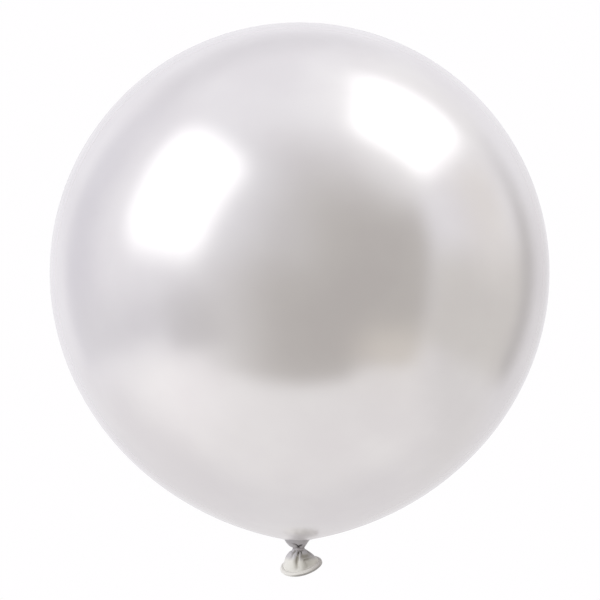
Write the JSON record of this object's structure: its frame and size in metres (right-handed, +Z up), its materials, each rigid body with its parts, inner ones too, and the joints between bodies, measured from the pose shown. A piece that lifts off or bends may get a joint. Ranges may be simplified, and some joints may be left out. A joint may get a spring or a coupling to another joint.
{
  "type": "giant latex balloon",
  "caption": "Large round latex balloon with a pearl finish, its neck gathered and knotted, and a short pleated tail that ends in a rolled lip.",
  "frame": {"origin": "the pinch of the neck, where the balloon is tied, on the ball's axis", "axes": "+Z up along the ball's axis from the neck to the crown, -Y the front that the picture shows, +X to the right there"},
  "size_m": [0.8998, 0.8998, 0.9989],
  "materials": {
    "pearl_latex": "pearl white latex film, stretched tight, glossy with a metallic sheen",
    "gathered_latex": "gathered latex folds, half gloss, grey in the creases",
    "ivory_latex": "relaxed ivory latex, satin",
    "rolled_latex": "thick rolled latex, satin"
  },
  "bodies": {
    "root": {"envelope": "pearl_latex", "neck_gather": "gathered_latex", "knot_core": "gathered_latex", "knot_wrap": "rolled_latex", "tail_skirt": "ivory_latex", "lip_bead": "rolled_latex"}
  },
  "joints": []
}
